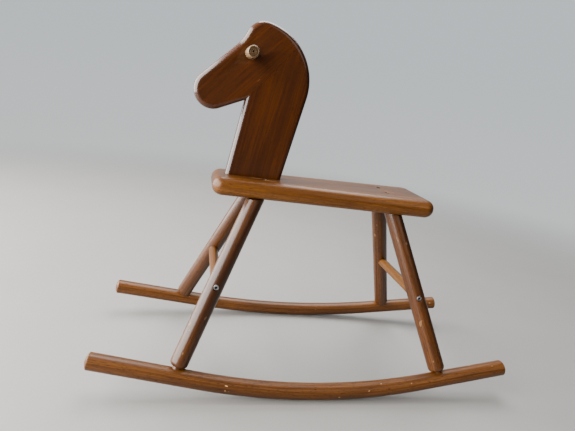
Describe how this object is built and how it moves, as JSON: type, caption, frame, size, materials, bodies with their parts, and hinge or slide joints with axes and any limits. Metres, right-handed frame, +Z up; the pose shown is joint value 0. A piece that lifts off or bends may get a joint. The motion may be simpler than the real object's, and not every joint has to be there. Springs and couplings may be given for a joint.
{
  "type": "rocking horse",
  "caption": "Toddler rocking horse in varnished beech: a board seat with a flat profile head and neck, splayed round legs, stretchers and bent rod rockers.",
  "frame": {"origin": "on the floor, below the middle of the rockers and of the track", "axes": "+X from nose to tail, +Y towards the horse's right side, +Z up"},
  "size_m": [0.8006, 0.346, 0.6446],
  "materials": {
    "seat_wood": "satin varnish over a warm brown stain",
    "board_wood": "gloss varnish over a brown stain",
    "leg_wood": "gloss varnish over a brown stain",
    "rocker_wood": "gloss varnish over a brown stain, scuffed",
    "stretcher_wood": "satin varnish over a light orange stain",
    "handle_wood": "clear satin varnish",
    "dowel_wood": "bare beech, fluted",
    "zinc": "zinc plated",
    "brass": "plain"
  },
  "bodies": {
    "root": {"seat_board": "seat_wood", "neck_board": "board_wood", "head_board": "board_wood", "handle_bar": "handle_wood", "lower_seam_dowel": "dowel_wood", "upper_seam_dowel": "dowel_wood", "front_neck_screw": "zinc", "rear_neck_screw": "zinc", "left_rocker": "rocker_wood", "right_rocker": "rocker_wood", "front_left_leg": "leg_wood", "front_right_leg": "leg_wood", "rear_left_leg": "leg_wood", "rear_right_leg": "leg_wood", "front_stretcher": "stretcher_wood", "rear_stretcher": "stretcher_wood", "front_left_seat_screw": "zinc", "front_right_seat_screw": "zinc", "rear_left_seat_screw": "zinc", "rear_right_seat_screw": "zinc", "front_left_rocker_screw": "zinc", "front_right_rocker_screw": "zinc", "rear_left_rocker_screw": "zinc", "rear_right_rocker_screw": "zinc", "front_left_stretcher_bolt": "zinc", "front_right_stretcher_bolt": "zinc", "rear_left_stretcher_bolt": "zinc", "rear_right_stretcher_bolt": "zinc", "front_left_stretcher_insert": "brass", "front_right_stretcher_insert": "brass", "rear_left_stretcher_insert": "brass", "rear_right_stretcher_insert": "brass"}
  },
  "joints": []
}
